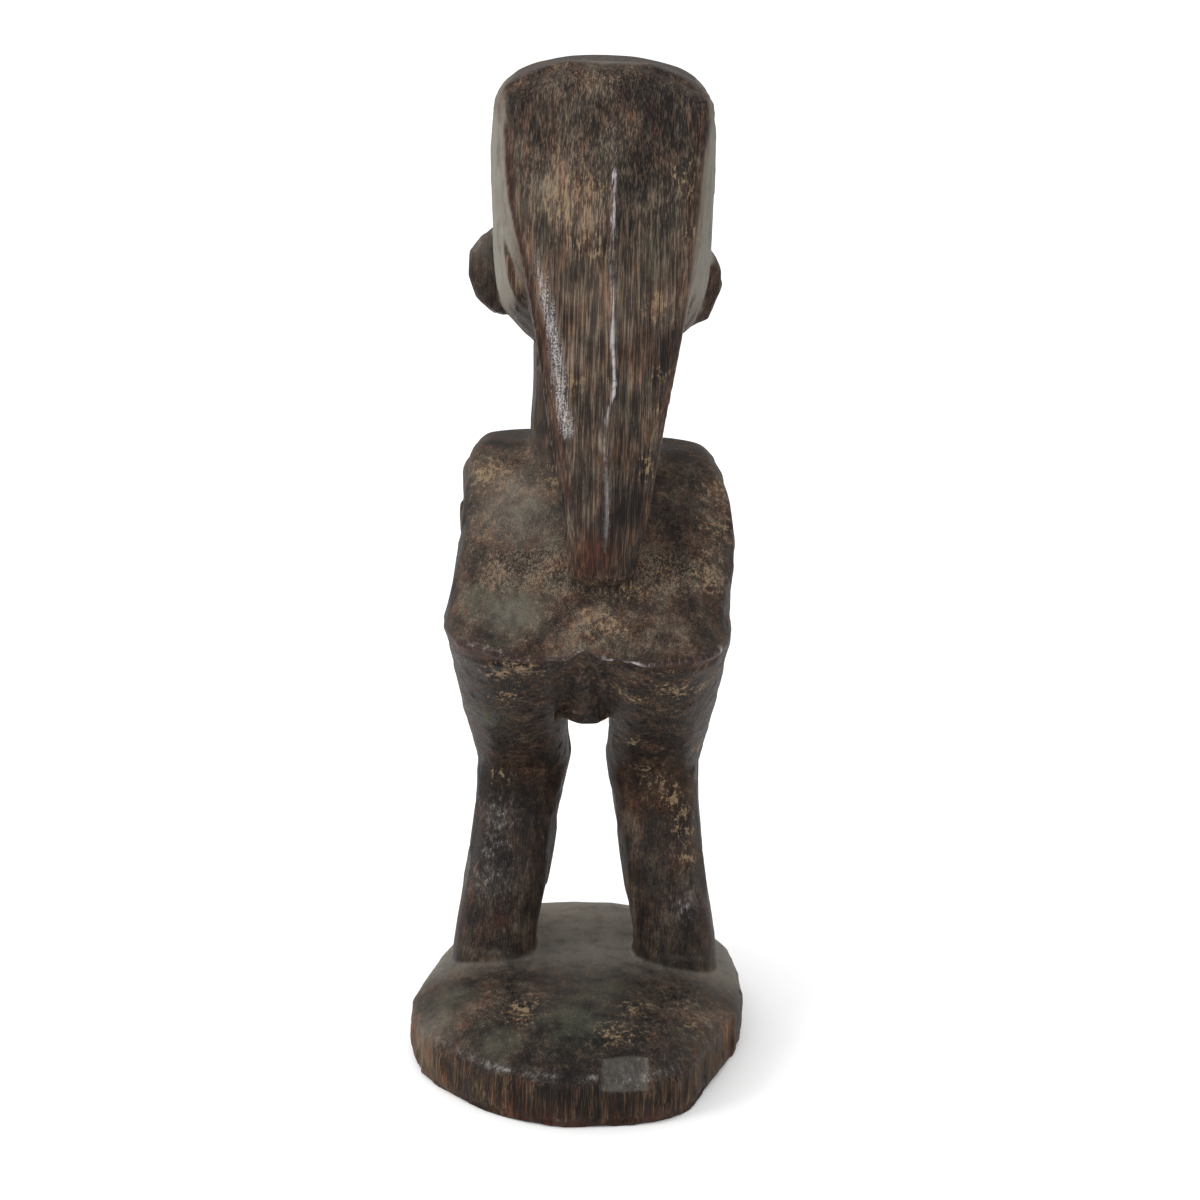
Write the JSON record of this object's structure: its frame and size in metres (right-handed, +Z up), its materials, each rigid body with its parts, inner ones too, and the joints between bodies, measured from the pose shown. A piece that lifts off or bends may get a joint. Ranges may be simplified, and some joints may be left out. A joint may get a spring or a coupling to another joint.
{
  "type": "carved ancestor figure",
  "caption": "Standing carved wooden ancestor figure with bent legs, slanted back and a long pointed hair tress that rests on the back, on a round domed plinth.",
  "frame": {"origin": "on the floor under the middle of the plinth's bounding box", "axes": "+Z up, the figure faces -Y, its left side is +X"},
  "size_m": [0.142, 0.167, 0.422],
  "materials": {
    "carved_wood": "dark handled patina, waxy on the high edges and dusty on upward faces"
  },
  "bodies": {
    "root": {"base": "carved_wood", "left_foot": "carved_wood", "right_foot": "carved_wood", "left_lower_leg": "carved_wood", "right_lower_leg": "carved_wood", "left_thigh": "carved_wood", "right_thigh": "carved_wood", "loin_apron": "carved_wood", "abdomen": "carved_wood", "chest": "carved_wood", "left_upper_arm": "carved_wood", "right_upper_arm": "carved_wood", "left_forearm": "carved_wood", "right_forearm": "carved_wood", "left_hand": "carved_wood", "right_hand": "carved_wood", "neck": "carved_wood", "head": "carved_wood", "left_ear": "carved_wood", "right_ear": "carved_wood", "hair_cap": "carved_wood", "hair_tress": "carved_wood"}
  },
  "joints": []
}
